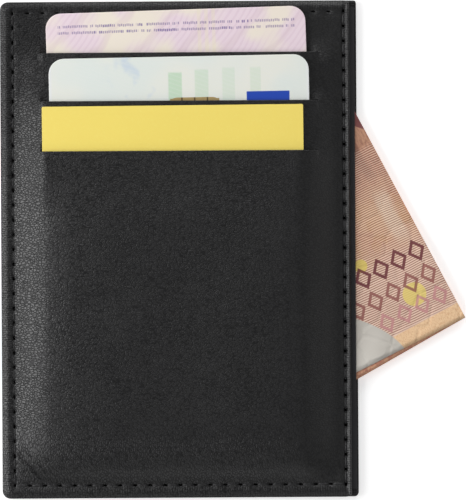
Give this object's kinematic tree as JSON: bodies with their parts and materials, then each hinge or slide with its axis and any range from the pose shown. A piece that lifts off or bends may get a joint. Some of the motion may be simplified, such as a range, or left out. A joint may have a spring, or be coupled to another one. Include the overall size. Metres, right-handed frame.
{
  "type": "card holder",
  "caption": "Slim portrait leather card holder with slit card pockets in its front and a note pocket open on one side, holding cards and a folded note.",
  "frame": {"origin": "centre of the back panel's outer face, which lies on the table", "axes": "+X towards the note pocket's open side, +Y towards the end the cards come out of, +Z out of the front"},
  "size_m": [0.0963, 0.1032, 0.0066],
  "materials": {
    "leather_black": "fine pebble grain, semi-matt",
    "stiffener_board": "uncoated board",
    "lining_fabric": "tight plain weave",
    "pocket_tape": "woven tape",
    "thread_black": "twisted polyester thread",
    "card_pink": "satin laminated card with a fine pale pattern",
    "card_white": "satin laminated card with pale bars",
    "chip_gold": "satin gold contact plate",
    "card_yellow": "plain coated paper card",
    "note_paper": null
  },
  "bodies": {
    "holder": {"front_panel": "leather_black", "back_panel": "leather_black", "back_stiffener": "stiffener_board", "note_pocket_back_lining": "lining_fabric", "note_pocket_front_lining": "lining_fabric", "edge_filler_left": "leather_black", "edge_filler_top": "leather_black", "edge_filler_bottom": "leather_black", "pocket_leaf_1": "lining_fabric", "pocket_leaf_2": "lining_fabric", "pocket_leaf_3": "lining_fabric", "pocket_leaf_4": "lining_fabric", "pocket_1_tape_left": "pocket_tape", "pocket_1_tape_right": "pocket_tape", "pocket_1_tape_floor": "pocket_tape", "pocket_2_tape_left": "pocket_tape", "pocket_2_tape_right": "pocket_tape", "pocket_2_tape_floor": "pocket_tape", "pocket_3_tape_left": "pocket_tape", "pocket_3_tape_right": "pocket_tape", "pocket_3_tape_floor": "pocket_tape", "closed_seam_needle_thread": "thread_black", "closed_seam_bobbin_thread": "thread_black", "front_mouth_needle_thread": "thread_black", "front_mouth_bobbin_thread": "thread_black", "back_mouth_needle_thread": "thread_black", "back_mouth_bobbin_thread": "thread_black"},
    "card_top_body": {"card_top": "card_pink"},
    "card_middle_body": {"card_middle": "card_white", "chip_contact_plate": "chip_gold"},
    "card_bottom_body": {"card_bottom": "card_yellow"},
    "note_body": {"folded_note": "note_paper"}
  },
  "joints": [
    {"name": "card_top_slide", "type": "slide", "parent": "holder", "child": "card_top_body", "axis": [-0.0279, 0.9996, 0.0062], "range_m": [0, 0.074]},
    {"name": "card_middle_slide", "type": "slide", "parent": "holder", "child": "card_middle_body", "axis": [-0.014, 0.9998, 0.0134], "range_m": [0, 0.072]},
    {"name": "card_bottom_slide", "type": "slide", "parent": "holder", "child": "card_bottom_body", "axis": [-0.0052, 0.9997, 0.0237], "range_m": [0, 0.056]},
    {"name": "note_slide", "type": "slide", "parent": "holder", "child": "note_body", "axis": [1, 0, 0], "range_m": [-0.004, 0.062]}
  ]
}
